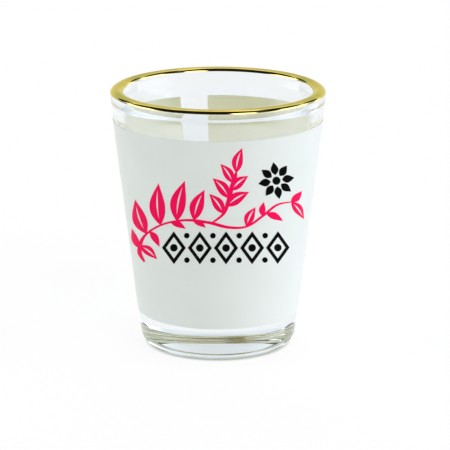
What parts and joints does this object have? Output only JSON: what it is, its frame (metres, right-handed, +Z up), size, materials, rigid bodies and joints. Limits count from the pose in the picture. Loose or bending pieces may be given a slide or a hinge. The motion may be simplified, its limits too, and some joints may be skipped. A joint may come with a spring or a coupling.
{
  "type": "shot glass",
  "caption": "Tapered heavy-based shot glass with a gilded lip, a white coating around the wall that stops short at the back, and a printed leaf ornament.",
  "frame": {"origin": "centre of the foot, on the surface that the glass stands on", "axes": "+Z up along the glass's axis, -Y out of the printed front, +X to the viewer's right"},
  "size_m": [0.0492, 0.0492, 0.06],
  "materials": {
    "clear_glass": "polished",
    "white_coat": "satin",
    "gold": "polished",
    "pink_ink": "satin",
    "black_ink": "satin"
  },
  "bodies": {
    "root": {"glass_body": "clear_glass", "white_coating": "white_coat", "gold_rim": "gold", "pink_leaf_print": "pink_ink", "black_lozenge_print": "black_ink", "black_rosette_print": "black_ink"}
  },
  "joints": []
}
